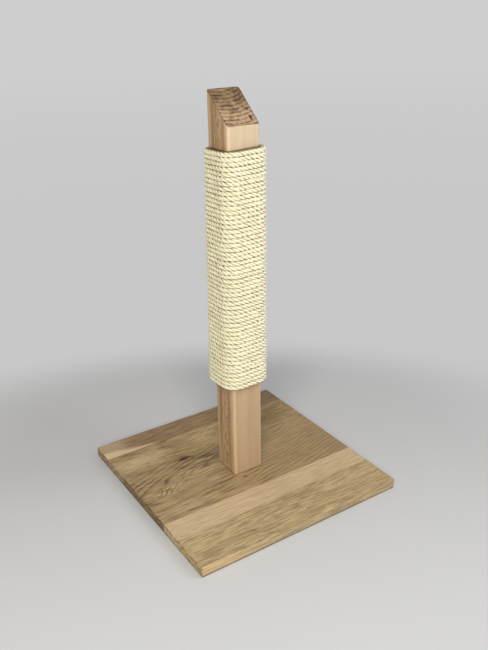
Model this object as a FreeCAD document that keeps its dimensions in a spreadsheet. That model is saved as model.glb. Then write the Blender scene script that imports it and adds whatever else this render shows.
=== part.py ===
import FreeCAD, Part
import math
import os
import Sketcher

# A cat scratching post. A square oak board, glued up from five staves, lies on the floor.
# A square beech post stands on its middle, held by four countersunk screws from below, and
# its top is sawn to a slope that falls to the front. Sisal rope is wound round the post in
# one close layer, and each end of it is bent into a hole in the rear face.
# Millimetres; +Z up, the front is -Y, and the origin is under the middle of the board.

SIZES = (
    # name, value, what it is
    ("stave_length", 400.0, "board from left to right, along the grain"),
    ("board_thickness", 18.0, "board from underside to top"),
    ("stave_1_width", 52.0, "rearmost stave"),
    ("stave_2_width", 68.0, "second stave from the rear"),
    ("stave_3_width", 156.0, "wide middle stave, under the post"),
    ("stave_4_width", 49.0, "second stave from the front"),
    ("stave_5_width", 75.0, "front stave"),
    ("edge_round", 2.0, "rounding of the board's top and bottom edges"),
    ("corner_round", 4.0, "rounding of the board's corners, seen from above"),
    ("post_side", 58.0, "side of the square post"),
    ("post_length", 667.0, "post from the board to the high edge of its top"),
    ("slope_drop", 50.0, "fall of the sawn top from rear to front"),
    ("arris_round", 4.0, "rounding of the post's upright edges"),
    ("top_round", 1.0, "rounding of the edges of the sawn top"),
    ("bare_foot", 178.5, "bare post between the board and the rope"),
    ("bare_head", 31.5, "bare front face above the rope"),
    ("rope_diameter", 7.1, "one turn of rope, drawn tight"),
    ("turn_gap", 0.42, "least gap left between neighbouring turns"),
    ("rope_clearance", 0.3, "between the rope and the wood"),
    ("rope_bend", 20.0, "the stiff rope's bend round the post's corners, to its middle"),
    ("rope_hole_depth", 22.0, "holes for the two rope ends"),
    ("rope_hole_offset", 9.0, "rope holes from the middle of the rear face"),
    ("mouth_round", 4.0, "rounding of the rope holes' mouths"),
    ("rope_lengths", 3.0, "modelled lengths that the one rope is divided into"),
    ("screw_length", 80.0, "screw from head to tip"),
    ("thread_diameter", 6.0, "outside of the screw's thread"),
    ("shank_diameter", 4.4, "plain shank below the head"),
    ("shank_length", 30.0, "screw from head to the start of the thread"),
    ("tip_length", 7.0, "tapered point of the screw"),
    ("head_diameter", 12.0, "countersunk head"),
    ("head_angle", 90.0, "countersink, degrees"),
    ("head_land", 0.4, "upright rim of the head"),
    ("head_sink", 0.5, "head below the board's underside"),
    ("screw_spacing", 32.0, "between neighbouring screws"),
    ("screw_clearance", 0.2, "between each screw and the wood, all round"),
    ("tip_clearance", 1.0, "pilot hole beyond the screw's point"),
    ("recess_depth", 2.6, "star recess in the head"),
    ("recess_core", 4.2, "star recess, between its lobes"),
    ("recess_lobe", 1.4, "one lobe of the star recess"),
)

STAVE_COUNT = 5
CENTRE_STAVE = 3
LOBE_COUNT = 6
DIAGONAL = math.sqrt(2)
POINTS_APART = 1.0
SAME = 1e-4


# ---- the document and small helpers ------------------------------------------------------

def add_sheet(document):
    """The sheet of driving sizes, one named cell each."""
    sheet = document.addObject("Spreadsheet::Sheet", "Sizes")
    for row, (name, value, note) in enumerate(SIZES, start=1):
        sheet.set("A%d" % row, name)
        sheet.set("B%d" % row, str(value))
        sheet.set("C%d" % row, note)
        sheet.setAlias("B%d" % row, name)
    document.recompute()
    return sheet


def add_body(document, label):
    body = document.addObject("PartDesign::Body", label)
    body.Label = label
    return body


def add_sketch(body, name, role):
    """A sketch on one of the body's own origin planes."""
    sketch = body.newObject("Sketcher::SketchObject", name)
    support = [plane for plane in body.Origin.OriginFeatures if plane.Role == role][0]
    sketch.AttachmentSupport = [(support, "")]
    sketch.MapMode = "FlatFace"
    return sketch


def add_feature(body, kind, name, sketch):
    feature = body.newObject(kind, name)
    feature.Profile = sketch
    return feature


def add_outline(sketch, points):
    """A closed outline of straight lines, level or upright wherever its points are."""
    count = len(points)
    corners = [FreeCAD.Vector(u, v, 0) for u, v in points]
    for index in range(count):
        sketch.addGeometry(Part.LineSegment(corners[index], corners[(index + 1) % count]))
    for index in range(count):
        following = (index + 1) % count
        sketch.addConstraint(Sketcher.Constraint("Coincident", index, 2, following, 1))
        step = corners[following] - corners[index]
        if abs(step.y) < SAME:
            sketch.addConstraint(Sketcher.Constraint("Horizontal", index))
        elif abs(step.x) < SAME:
            sketch.addConstraint(Sketcher.Constraint("Vertical", index))


def add_size(sketch, name, kind, places, value, expression):
    """A driving dimension, bound to the sheet."""
    index = sketch.addConstraint(Sketcher.Constraint(kind, *places, value))
    sketch.renameConstraint(index, name)
    sketch.setExpression("Constraints." + name, expression)


def add_circle(sketch, name, place, diameter, expressions):
    """A circle, with its place and diameter bound to the sheet."""
    u, v = place
    across, up, diameter_expression = expressions
    circle = sketch.addGeometry(Part.Circle(FreeCAD.Vector(u, v, 0), FreeCAD.Vector(0, 0, 1), diameter / 2))
    add_size(sketch, name + "_across", "DistanceX", (-1, 1, circle, 3), u, across)
    add_size(sketch, name + "_up", "DistanceY", (-1, 1, circle, 3), v, up)
    add_size(sketch, name + "_diameter", "Diameter", (circle,), diameter, diameter_expression)


def edges_where(shape, wanted):
    """The names of a shape's edges that pass a test."""
    return ["Edge%d" % number for number, edge in enumerate(shape.Edges, start=1) if wanted(edge)]


def level_at(edge, height):
    return all(abs(vertex.Z - height) < SAME for vertex in edge.Vertexes)


def add_rounding(body, name, base, wanted, radius_expression):
    """A rounding of the chosen edges of the feature before it."""
    rounding = body.newObject("PartDesign::Fillet", name)
    rounding.Base = (base, edges_where(base.Shape, wanted))
    rounding.setExpression("Radius", radius_expression)
    return rounding


# ---- the board ---------------------------------------------------------------------------

def stave_width(number):
    return "Sizes.stave_%d_width" % number


def board_depth():
    return "(" + " + ".join(stave_width(number) for number in range(1, STAVE_COUNT + 1)) + ")"


def stave_middle(number):
    """Where a stave's middle lies from front to rear."""
    ahead = "".join(" - " + stave_width(before) for before in range(1, number))
    return "%s / 2%s - %s / 2" % (board_depth(), ahead, stave_width(number))


def make_stave(document, sheet, number):
    """One stave, with the board's rounding on the edges that stay outside when it is glued up."""
    label = "base_stave_%d" % number
    body = add_body(document, label)
    length = sheet.get("stave_length")
    width = sheet.get("stave_%d_width" % number)
    thickness = sheet.get("board_thickness")

    sketch = add_sketch(body, label + "_outline", "XY_Plane")
    add_outline(sketch, [(-length / 2, -width / 2), (length / 2, -width / 2),
                         (length / 2, width / 2), (-length / 2, width / 2)])
    sketch.addConstraint(Sketcher.Constraint("Symmetric", 0, 1, 2, 1, -1, 1))
    add_size(sketch, "length", "DistanceX", (0, 1, 0, 2), length, "Sizes.stave_length")
    add_size(sketch, "width", "DistanceY", (1, 1, 1, 2), width, stave_width(number))
    pad = add_feature(body, "PartDesign::Pad", label + "_plank", sketch)
    pad.setExpression("Length", "Sizes.board_thickness")
    document.recompute()

    outer_side = {1: width / 2, STAVE_COUNT: -width / 2}.get(number)
    shaped = pad
    if outer_side is not None:
        def corner(edge):
            upright = abs(edge.Vertexes[0].Z - edge.Vertexes[1].Z) > SAME
            return upright and abs(edge.CenterOfMass.y - outer_side) < SAME

        shaped = add_rounding(body, label + "_corners", pad, corner, "Sizes.corner_round")
        document.recompute()

    def outside(edge):
        flat = level_at(edge, 0) or level_at(edge, thickness)
        along_x = abs(edge.Vertexes[0].Y - edge.Vertexes[-1].Y) < SAME
        glued = along_x and (outer_side is None or edge.CenterOfMass.y * outer_side < 0)
        return flat and not glued

    add_rounding(body, label + "_edges", shaped, outside, "Sizes.edge_round")
    body.setExpression("Placement.Base.y", stave_middle(number))
    document.recompute()
    return body


# ---- the screws and their holes ----------------------------------------------------------

def screw_places():
    """The four screws, at the corners of a square about the post's middle."""
    return [(across, ahead) for ahead in (-1, 1) for across in (-1, 1)]


def add_screw_circles(sketch, sheet, diameter, diameter_expression):
    half = sheet.get("screw_spacing") / 2
    for number, (across, ahead) in enumerate(screw_places(), start=1):
        expressions = ("%d * Sizes.screw_spacing / 2" % across,
                       "%d * Sizes.screw_spacing / 2" % ahead, diameter_expression)
        add_circle(sketch, "screw_%d" % number, (across * half, ahead * half), diameter, expressions)


def add_countersinks(document, sheet, body, number):
    """Clearance holes through the middle stave, countersunk from below."""
    middle = stave_middle(number)
    sketch = add_sketch(body, "countersink_places", "XY_Plane")
    clear = "Sizes.thread_diameter + 2 * Sizes.screw_clearance"
    diameter = sheet.get("thread_diameter") + 2 * sheet.get("screw_clearance")
    add_screw_circles(sketch, sheet, diameter, clear)
    sketch.setExpression("AttachmentOffset.Base.y", "-(%s)" % middle)
    hole = add_feature(body, "PartDesign::Hole", "countersunk_holes", sketch)
    document.recompute()
    hole.Threaded = False
    hole.DepthType = "ThroughAll"
    hole.HoleCutType = "Countersink"
    hole.HoleCutCustomValues = True
    hole.Reversed = True
    sunk = "2 * (Sizes.head_sink + Sizes.head_land) * tan(Sizes.head_angle * 1 deg / 2)"
    hole.setExpression("Diameter", clear)
    hole.setExpression("HoleCutDiameter", "Sizes.head_diameter + 2 * Sizes.screw_clearance + " + sunk)
    hole.setExpression("HoleCutCountersinkAngle", "Sizes.head_angle")
    document.recompute()


def make_screw(document, sheet, number, across, ahead):
    """A countersunk wood screw with a star recess, head down in the board."""
    label = "post_screw_%d" % number
    body = add_body(document, label)
    length = sheet.get("screw_length")
    land = sheet.get("head_land")
    head = sheet.get("head_diameter") / 2
    shank = sheet.get("shank_diameter") / 2
    thread = sheet.get("thread_diameter") / 2
    plain = sheet.get("shank_length")
    tip = sheet.get("tip_length")
    cone = (head - shank) / math.tan(math.radians(sheet.get("head_angle") / 2))
    step = thread - shank

    profile = add_sketch(body, label + "_profile", "XZ_Plane")
    add_outline(profile, [(0, 0), (head, 0), (head, land), (shank, land + cone), (shank, plain),
                          (thread, plain + step), (thread, length - tip), (0, length)])
    profile.addConstraint(Sketcher.Constraint("Coincident", 0, 1, -1, 1))
    cone_expression = "(Sizes.head_diameter - Sizes.shank_diameter) / 2 / tan(Sizes.head_angle * 1 deg / 2)"
    add_size(profile, "head", "DistanceX", (0, 1, 0, 2), head, "Sizes.head_diameter / 2")
    add_size(profile, "land", "DistanceY", (1, 1, 1, 2), land, "Sizes.head_land")
    add_size(profile, "cone", "DistanceY", (2, 1, 2, 2), cone, cone_expression)
    add_size(profile, "shank", "DistanceX", (-1, 1, 3, 1), shank, "Sizes.shank_diameter / 2")
    add_size(profile, "plain", "DistanceY", (-1, 1, 3, 2), plain, "Sizes.shank_length")
    add_size(profile, "step", "DistanceY", (4, 1, 4, 2), step,
             "(Sizes.thread_diameter - Sizes.shank_diameter) / 2")
    add_size(profile, "thread", "DistanceX", (-1, 1, 5, 1), thread, "Sizes.thread_diameter / 2")
    add_size(profile, "tip", "DistanceY", (6, 1, 6, 2), tip, "Sizes.tip_length")
    add_size(profile, "length", "DistanceY", (-1, 1, 6, 2), length, "Sizes.screw_length")
    turned = add_feature(body, "PartDesign::Revolution", label + "_turned", profile)
    turned.ReferenceAxis = (profile, ["V_Axis"])
    turned.Angle = 360

    core = sheet.get("recess_core")
    lobe = sheet.get("recess_lobe")
    bore = add_sketch(body, label + "_recess_core", "XY_Plane")
    add_circle(bore, "core", (0, 0), core, ("0", "0", "Sizes.recess_core"))
    cut = add_feature(body, "PartDesign::Pocket", label + "_recess", bore)
    side = add_sketch(body, label + "_recess_lobe", "XY_Plane")
    add_circle(side, "lobe", (core / 2, 0), lobe, ("Sizes.recess_core / 2", "0", "Sizes.recess_lobe"))
    lobe_cut = add_feature(body, "PartDesign::Pocket", label + "_lobe", side)
    for pocket in (cut, lobe_cut):
        pocket.Reversed = True
        pocket.setExpression("Length", "Sizes.recess_depth")
    document.recompute()
    star = body.newObject("PartDesign::PolarPattern", label + "_star")
    star.Originals = [lobe_cut]
    star.Axis = (side, ["N_Axis"])
    star.Angle = 360
    star.Occurrences = LOBE_COUNT
    body.Tip = star

    body.setExpression("Placement.Base.x", "%d * Sizes.screw_spacing / 2" % across)
    body.setExpression("Placement.Base.y", "%d * Sizes.screw_spacing / 2" % ahead)
    body.setExpression("Placement.Base.z", "Sizes.head_sink")
    document.recompute()
    return body


# ---- the rope's route --------------------------------------------------------------------

class Winding:
    """The rope's one close layer: its sizes and its route, worked out from the sheet.

    The centre line runs round a square with wide bends, climbing evenly, anticlockwise seen
    from above. It starts in the lower hole in the rear face and ends in the upper one. The
    rope is too stiff to lie flat: it bears on the post's rounded upright edges and stands off
    the faces between them."""

    def __init__(self, sheet):
        radius = sheet.get("rope_diameter") / 2
        half_post = sheet.get("post_side") / 2
        standing = sheet.get("board_thickness")
        low_side = sheet.get("post_length") - sheet.get("slope_drop")
        height = low_side - sheet.get("bare_foot") - sheet.get("bare_head")
        self.offset = sheet.get("rope_hole_offset")
        arris = sheet.get("arris_round")
        reach = (half_post - arris) * DIAGONAL + arris + sheet.get("rope_clearance") + radius
        self.corner_bend = sheet.get("rope_bend")
        self.half = self.corner_bend + (reach - self.corner_bend) / DIAGONAL
        self.round_turn = 8 * self.half
        self.rise = height - 2 * radius
        self.part_turn = 2 * self.offset / self.round_turn
        least = 2 * radius + sheet.get("turn_gap")
        slant = least / self.round_turn
        self.turns = math.floor(self.rise / (least * math.hypot(1, slant)) - self.part_turn)
        self.pitch = self.rise / (self.turns + self.part_turn)
        self.start = standing + sheet.get("bare_foot") + radius
        self.hole_end = half_post - sheet.get("rope_hole_depth") + sheet.get("rope_clearance")
        self.end_bend = sheet.get("mouth_round") + sheet.get("rope_clearance") + radius
        self.lengths = int(sheet.get("rope_lengths"))

    def point(self, x, y, distance):
        """A point on the square, at a distance run since the lower hole."""
        return FreeCAD.Vector(x, y, self.start + self.pitch * distance / self.round_turn)

    def joint(self, crossing):
        """The middle of the rear face, where one modelled length of rope meets the next."""
        return self.point(0, self.half, self.offset + crossing * self.round_turn)

    def corners(self, turn):
        """The four corners that one turn passes: rear left, front left, front right, rear right."""
        half = self.half
        first = self.offset + half + turn * self.round_turn
        places = [(-half, half), (-half, -half), (half, -half), (half, half)]
        return [self.point(x, y, first + 2 * half * index) for index, (x, y) in enumerate(places)]

    def lower_end(self):
        mouth = self.point(self.offset, self.half, 0)
        return [FreeCAD.Vector(self.offset, self.hole_end, mouth.z), mouth]

    def upper_end(self):
        mouth = self.point(-self.offset, self.half, (self.turns + self.part_turn) * self.round_turn)
        return [mouth, FreeCAD.Vector(-self.offset, self.hole_end, mouth.z)]

    def shares(self):
        """How many turns each modelled length of rope takes."""
        share, extra = divmod(self.turns, self.lengths)
        return [share + (1 if index < extra else 0) for index in range(self.lengths)]

    def route(self, index):
        """One length's points and the radius of the bend at each point between its ends."""
        shares = self.shares()
        first = sum(shares[:index])
        last = first + shares[index]
        points = self.lower_end() if index == 0 else [self.joint(first)]
        bends = [self.end_bend] if index == 0 else []
        for turn in range(first, last):
            points += self.corners(turn)
            bends += [self.corner_bend] * 4
        if index == self.lengths - 1:
            points += self.upper_end()
            bends += [self.end_bend]
        else:
            points.append(self.joint(last))
        return points, bends


def bent_path(points, bends):
    """Straight runs joined by tangent arcs: one wire."""
    edges = []
    here = points[0]
    for before, corner, after, radius in zip(points, points[1:], points[2:], bends):
        arriving = (corner - before).normalize()
        leaving = (after - corner).normalize()
        turn = arriving.getAngle(leaving)
        reach = radius * math.tan(turn / 2)
        inward = (leaving - arriving).normalize()
        begin = corner - arriving * reach
        end = corner + leaving * reach
        middle = corner + inward * (radius / math.cos(turn / 2) - radius)
        edges.append(Part.LineSegment(here, begin).toShape())
        edges.append(Part.Arc(begin, middle, end).toShape())
        here = end
    edges.append(Part.LineSegment(here, points[-1]).toShape())
    return Part.Wire(edges)


def least_gap(path, diameter, half_turn, whole_turn):
    """The least gap between a tube and itself, measured on points of its centre line."""
    points = path.discretize(Distance=POINTS_APART)
    first = int(half_turn / POINTS_APART)
    last = int((half_turn + whole_turn) / POINTS_APART)
    nearest = min(point.distanceToPoint(other)
                  for place, point in enumerate(points)
                  for other in points[place + first:place + last])
    return nearest - diameter


def make_rope(document, sheet, winding, index):
    """One modelled length of the rope: an unbroken round tube along its route."""
    label = "sisal_rope_%d" % (index + 1)
    diameter = sheet.get("rope_diameter")
    points, bends = winding.route(index)
    path = bent_path(points, bends)
    facing = (points[1] - points[0]).normalize()
    section = Part.Wire(Part.Circle(points[0], facing, diameter / 2).toShape())
    shell = Part.BRepOffsetAPI.MakePipeShell(path)
    shell.add(section)
    shell.build()
    shell.makeSolid()
    rope = document.addObject("Part::Feature", label)
    rope.Label = label
    rope.Shape = shell.shape()
    rope.Placement = FreeCAD.Placement()
    expected = math.pi * diameter ** 2 / 4 * path.Length
    gap = least_gap(path, diameter, winding.round_turn / 2, winding.round_turn)
    print("%s: %d turns, %.0f mm long, volume %.5f of section by length, least gap %.3f mm"
          % (label, winding.shares()[index], path.Length, rope.Shape.Volume / expected, gap))
    return rope


# ---- the post ----------------------------------------------------------------------------

def make_post(document, sheet, winding):
    """The post, with its sloping top, pilot holes and rope holes."""
    label = "post"
    body = add_body(document, label)
    half = sheet.get("post_side") / 2
    length = sheet.get("post_length")
    drop = sheet.get("slope_drop")

    side = add_sketch(body, "post_side_view", "YZ_Plane")
    add_outline(side, [(-half, 0), (half, 0), (half, length), (-half, length - drop)])
    side.addConstraint(Sketcher.Constraint("Symmetric", 0, 1, 0, 2, -1, 1))
    add_size(side, "depth", "DistanceX", (0, 1, 0, 2), 2 * half, "Sizes.post_side")
    add_size(side, "high_side", "DistanceY", (1, 1, 1, 2), length, "Sizes.post_length")
    add_size(side, "drop", "DistanceY", (2, 2, 2, 1), drop, "Sizes.slope_drop")
    blank = add_feature(body, "PartDesign::Pad", "post_blank", side)
    blank.Midplane = True
    blank.setExpression("Length", "Sizes.post_side")
    document.recompute()

    def arris(edge):
        first, last = edge.Vertexes
        upright = abs(first.X - last.X) < SAME and abs(first.Y - last.Y) < SAME
        return upright

    eased = add_rounding(body, "post_arrises", blank, arris, "Sizes.arris_round")
    document.recompute()

    def sawn(edge):
        slope = drop / (2 * half)
        return all(abs(vertex.Z - (length - (half - vertex.Y) * slope)) < SAME for vertex in edge.Vertexes)

    add_rounding(body, "post_top_edges", eased, sawn, "Sizes.top_round")
    document.recompute()

    pilots = add_sketch(body, "pilot_places", "XY_Plane")
    thread = sheet.get("thread_diameter") + 2 * sheet.get("screw_clearance")
    add_screw_circles(pilots, sheet, thread, "Sizes.thread_diameter + 2 * Sizes.screw_clearance")
    bored = add_feature(body, "PartDesign::Pocket", "pilot_holes", pilots)
    bored.Reversed = True
    bored.setExpression("Length", "Sizes.screw_length + Sizes.head_sink - Sizes.board_thickness"
                                  " + Sizes.tip_clearance")
    document.recompute()

    rope_hole = sheet.get("rope_diameter") + 2 * sheet.get("rope_clearance")
    rope_hole_expression = "Sizes.rope_diameter + 2 * Sizes.rope_clearance"
    mouths = add_sketch(body, "rope_hole_places", "XZ_Plane")
    mouths.setExpression("AttachmentOffset.Base.z", "-Sizes.post_side / 2")
    lower_place = (winding.offset, winding.lower_end()[0].z - sheet.get("board_thickness"))
    upper_place = (-winding.offset, winding.upper_end()[0].z - sheet.get("board_thickness"))
    lower_up = "Sizes.bare_foot + Sizes.rope_diameter / 2"
    upper_up = "Sizes.post_length - Sizes.slope_drop - Sizes.bare_head - Sizes.rope_diameter / 2"
    add_circle(mouths, "lower", lower_place, rope_hole,
               ("Sizes.rope_hole_offset", lower_up, rope_hole_expression))
    add_circle(mouths, "upper", upper_place, rope_hole,
               ("-Sizes.rope_hole_offset", upper_up, rope_hole_expression))
    drilled = add_feature(body, "PartDesign::Pocket", "rope_holes", mouths)
    drilled.Reversed = True
    drilled.setExpression("Length", "Sizes.rope_hole_depth")
    document.recompute()

    def mouth(edge):
        round_edge = isinstance(edge.Curve, Part.Circle)
        return round_edge and abs(edge.CenterOfMass.y - half) < SAME and edge.Closed

    add_rounding(body, "rope_hole_mouths", drilled, mouth, "Sizes.mouth_round")
    body.setExpression("Placement.Base.z", "Sizes.board_thickness")
    document.recompute()
    return body


# ---- building, checking and writing ------------------------------------------------------

def removed(body, name):
    """How much one feature of a body took away from, or added to, the feature before it."""
    solids = [feature for feature in body.Group if feature.isDerivedFrom("PartDesign::Feature")]
    names = [feature.Name for feature in solids]
    place = names.index(name)
    return solids[place - 1].Shape.Volume - solids[place].Shape.Volume


def check_cuts(sheet, post, middle_stave, screws):
    """Stops the build if a hole points away from the wood it should cut."""
    radius = (sheet.get("thread_diameter") + 2 * sheet.get("screw_clearance")) / 2
    section = math.pi * radius ** 2 * len(screws)
    pilot_depth = (sheet.get("screw_length") + sheet.get("head_sink") - sheet.get("board_thickness")
                   + sheet.get("tip_clearance"))
    rope_radius = sheet.get("rope_diameter") / 2 + sheet.get("rope_clearance")
    rope_bores = 2 * math.pi * rope_radius ** 2 * sheet.get("rope_hole_depth")
    wanted = (
        ("pilot holes", removed(post, "pilot_holes"), section * pilot_depth),
        ("rope holes", removed(post, "rope_holes"), rope_bores),
        ("countersinks", removed(middle_stave, "countersunk_holes"), section * sheet.get("board_thickness")),
    )
    for name, cut, least in wanted:
        print("%s take away %.1f mm3, of at least %.1f" % (name, cut, least))
        if cut < least * 0.999:
            raise ValueError(name + " cut too little")
    for screw in screws:
        if removed(screw, screw.Label + "_star") <= 0:
            raise ValueError(screw.Label + " has no star recess")


def check_document(document, pieces):
    """Stops the build if any object failed or any piece isn't one valid solid."""
    for thing in document.Objects:
        if "Invalid" in thing.State or "Error" in thing.State:
            raise ValueError("%s failed: %s" % (thing.Label, thing.State))
    for piece in pieces:
        shape = piece.Shape
        if shape.isNull() or not shape.isValid() or len(shape.Solids) != 1:
            raise ValueError(piece.Label + " isn't one valid solid")


def build():
    document = FreeCAD.newDocument("cat_scratching_post")
    sheet = add_sheet(document)
    winding = Winding(sheet)
    print("rope: %d turns, %.3f mm apart, in %d lengths"
          % (winding.turns, winding.pitch, winding.lengths))
    staves = [make_stave(document, sheet, number) for number in range(1, STAVE_COUNT + 1)]
    middle_stave = staves[CENTRE_STAVE - 1]
    add_countersinks(document, sheet, middle_stave, CENTRE_STAVE)
    post = make_post(document, sheet, winding)
    ropes = [make_rope(document, sheet, winding, index) for index in range(winding.lengths)]
    screws = [make_screw(document, sheet, number, across, ahead)
              for number, (across, ahead) in enumerate(screw_places(), start=1)]
    pieces = staves + [post] + ropes + screws
    document.recompute()
    check_document(document, pieces)
    check_cuts(sheet, post, middle_stave, screws)
    return pieces


def write(pieces):
    os.makedirs("parts", exist_ok=True)
    for piece in pieces:
        piece.Shape.exportStep("parts/%s.step" % piece.Label)
        box = piece.Shape.BoundBox
        print("%-14s %8.1f mm3  x %.1f..%.1f  y %.1f..%.1f  z %.1f..%.1f"
              % (piece.Label, piece.Shape.Volume, box.XMin, box.XMax, box.YMin, box.YMax, box.ZMin, box.ZMax))


write(build())
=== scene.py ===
import math

import bpy
import numpy as np
from mathutils import Matrix, Vector


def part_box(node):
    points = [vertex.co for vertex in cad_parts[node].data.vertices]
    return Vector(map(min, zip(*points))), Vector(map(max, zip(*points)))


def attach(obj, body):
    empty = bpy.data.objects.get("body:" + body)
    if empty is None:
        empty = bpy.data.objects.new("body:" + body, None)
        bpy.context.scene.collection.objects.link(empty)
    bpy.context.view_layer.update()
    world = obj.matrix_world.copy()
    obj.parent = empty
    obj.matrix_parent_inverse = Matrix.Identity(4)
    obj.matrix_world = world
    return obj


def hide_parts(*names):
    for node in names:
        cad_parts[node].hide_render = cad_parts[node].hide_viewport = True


# A cat scratching post: a square oak board of five glued staves, a square beech post with a
# sloping top, and one length of three-strand sisal rope wound round the post.
# Metres; +Z up, the front is -Y, and the origin is on the floor under the middle of the board.

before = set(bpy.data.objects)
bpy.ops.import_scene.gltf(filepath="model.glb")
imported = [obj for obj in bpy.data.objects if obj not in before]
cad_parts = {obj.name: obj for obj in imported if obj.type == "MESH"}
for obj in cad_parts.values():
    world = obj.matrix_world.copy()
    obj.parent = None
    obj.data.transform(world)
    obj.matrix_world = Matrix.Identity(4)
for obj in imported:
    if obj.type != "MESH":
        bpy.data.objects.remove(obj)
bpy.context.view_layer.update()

MM = 0.001
SEED = 11


# ---- meshes --------------------------------------------------------------------------------------

def make_mesh(name, points, quads, lay=None):
    """A smooth mesh object from an array of points and an array of four-cornered faces.

    The lay, where there is one, is a vector kept with each point."""
    mesh = bpy.data.meshes.new(name)
    mesh.vertices.add(len(points))
    mesh.vertices.foreach_set("co", points.astype(np.float32).ravel())
    mesh.loops.add(quads.size)
    mesh.loops.foreach_set("vertex_index", quads.astype(np.int32).ravel())
    mesh.polygons.add(len(quads))
    mesh.polygons.foreach_set("loop_start", np.arange(0, quads.size, 4, dtype=np.int32))
    mesh.polygons.foreach_set("use_smooth", np.ones(len(quads), dtype=bool))
    mesh.update(calc_edges=True)
    if lay is not None:
        attribute = mesh.attributes.new("lay", "FLOAT_VECTOR", "POINT")
        attribute.data.foreach_set("vector", lay.astype(np.float32).ravel())
    mesh.validate()
    piece = bpy.data.objects.new(name, mesh)
    bpy.context.scene.collection.objects.link(piece)
    return piece


def tube_quads(tubes, rings, sides):
    """The faces of tubes whose points are numbered tube by tube, ring by ring, side by side."""
    tube, ring, side = np.meshgrid(np.arange(tubes), np.arange(rings - 1), np.arange(sides),
                                   indexing="ij")
    first = (tube * rings + ring) * sides
    here = first + side
    beside = first + (side + 1) % sides
    return np.stack([here, beside, beside + sides, here + sides], axis=-1).reshape(-1, 4)


# ---- the rope's route ----------------------------------------------------------------------------

# The rope's centre line: its turns round the post, and one end at the bottom and one at the top
# that bend into holes in the rear face.
TURNS = 53
ROPE_LOW = 200.05 * MM
ROPE_RISE = 399.9 * MM
HOLE_OFFSET = 9.0 * MM
HOLE_END = 7.3 * MM
HOLE_BEND = 7.9 * MM
ROPE_HALF = 37.4 * MM
CORNER_BEND = 21.0 * MM
PITCH_EASE = 0.035

STRAIGHT = ROPE_HALF - CORNER_BEND
ROUND_TURN = 8 * STRAIGHT + 2 * math.pi * CORNER_BEND
HOLE_RUN = ROPE_HALF - HOLE_BEND - HOLE_END
HOLE_ARC = math.pi / 2 * HOLE_BEND
LEAD = HOLE_OFFSET - HOLE_BEND
WOUND = TURNS * ROUND_TURN + 2 * LEAD
ROPE_LENGTH = WOUND + 2 * (HOLE_RUN + HOLE_ARC)


def turned(along, across, quarter):
    """A point or a direction, turned by whole quarters round the post."""
    cosine = np.round(np.cos(quarter * math.pi / 2))
    sine = np.round(np.sin(quarter * math.pi / 2))
    return along * cosine - across * sine, along * sine + across * cosine


def winding_place(distance):
    """Where the rope's centre is, seen from above, and which way is outward from the post.

    The distance starts at the middle of the rear face, and the rope runs to the left there,
    anticlockwise seen from above."""
    side = 2 * STRAIGHT + math.pi / 2 * CORNER_BEND
    quarter = np.floor((distance + STRAIGHT) / side)
    within = distance + STRAIGHT - quarter * side
    bend = np.clip((within - 2 * STRAIGHT) / CORNER_BEND, 0, math.pi / 2)
    run = np.minimum(within, 2 * STRAIGHT)
    along = STRAIGHT - run - CORNER_BEND * np.sin(bend)
    across = STRAIGHT + CORNER_BEND * np.cos(bend)
    x, y = turned(along, across, quarter)
    out_x, out_y = turned(-np.sin(bend), np.cos(bend), quarter)
    return x, y, out_x, out_y


def rope_place(distance):
    """The rope's centre line and its outward direction at distances from its lower end."""
    upper = distance > ROPE_LENGTH / 2
    from_end = np.where(upper, ROPE_LENGTH - distance, distance)
    mirror = np.where(upper, -1.0, 1.0)
    bend = np.clip((from_end - HOLE_RUN) / HOLE_BEND, 0, math.pi / 2)
    in_hole = from_end < HOLE_RUN + HOLE_ARC
    end_x = mirror * (HOLE_OFFSET - HOLE_BEND * (1 - np.cos(bend)))
    end_y = HOLE_END + np.minimum(from_end, HOLE_RUN) + HOLE_BEND * np.sin(bend)
    wound = distance - HOLE_RUN - HOLE_ARC
    x, y, out_x, out_y = winding_place(wound - LEAD)
    x = np.where(in_hole, end_x, x)
    y = np.where(in_hole, end_y, y)
    out_x = np.where(in_hole, mirror * np.cos(bend), out_x)
    out_y = np.where(in_hole, np.sin(bend), out_y)
    share = np.clip(wound / WOUND, 0, 1)
    z = ROPE_LOW + ROPE_RISE * (share + PITCH_EASE * share * (1 - share))
    return x, y, z, out_x, out_y


# ---- the rope's strands --------------------------------------------------------------------------

STRANDS = 3
STRAND_RADIUS = 2.0 * MM
STRAND_OFFSET = 2.25 * MM
LAY = 24.0 * MM
RING_STEP = 1.5 * MM
RING_SIDES = 10
SIDE_EASE = 0.25
END_GAP = 0.5 * MM

# Factors on the rope's thickness: outward and upward on the post, and both ways in the holes.
OUTWARD_SWELL = 1.06
UPRIGHT_SQUEEZE = 0.96
HOLE_SQUEEZE = 0.86

# The rope has its full thickness from this far after a hole's bend.
FULL_AFTER_BEND = 8 * MM

# How far the turns are moved outward, and along X and Y, at the bottom and at the top.
LOOSE_LOW = 2.1 * MM
LOOSE_HIGH = 0.2 * MM
LEAN_LOW = np.array([-1.1, -0.3]) * MM
LEAN_HIGH = np.array([1.2, -1.2]) * MM

# How uneven the rope is: its place, its lay in radians, and the thickness of a strand.
UNEVEN_PLACE = 0.3 * MM
UNEVEN_LAY = 1.7
UNEVEN_STRAND_LAY = 0.16
UNEVEN_THICKNESS = 0.11

# The strands' lay values lie this far apart, so that no two strands have the same streaks.
STRAND_SHIFT = 20.0

route_random = np.random.RandomState(SEED)
NOISE_COUNT = 4000


def eased(share):
    """A share between nought and one, with a soft start and a soft end."""
    return share * share * (3 - 2 * share)


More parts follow.
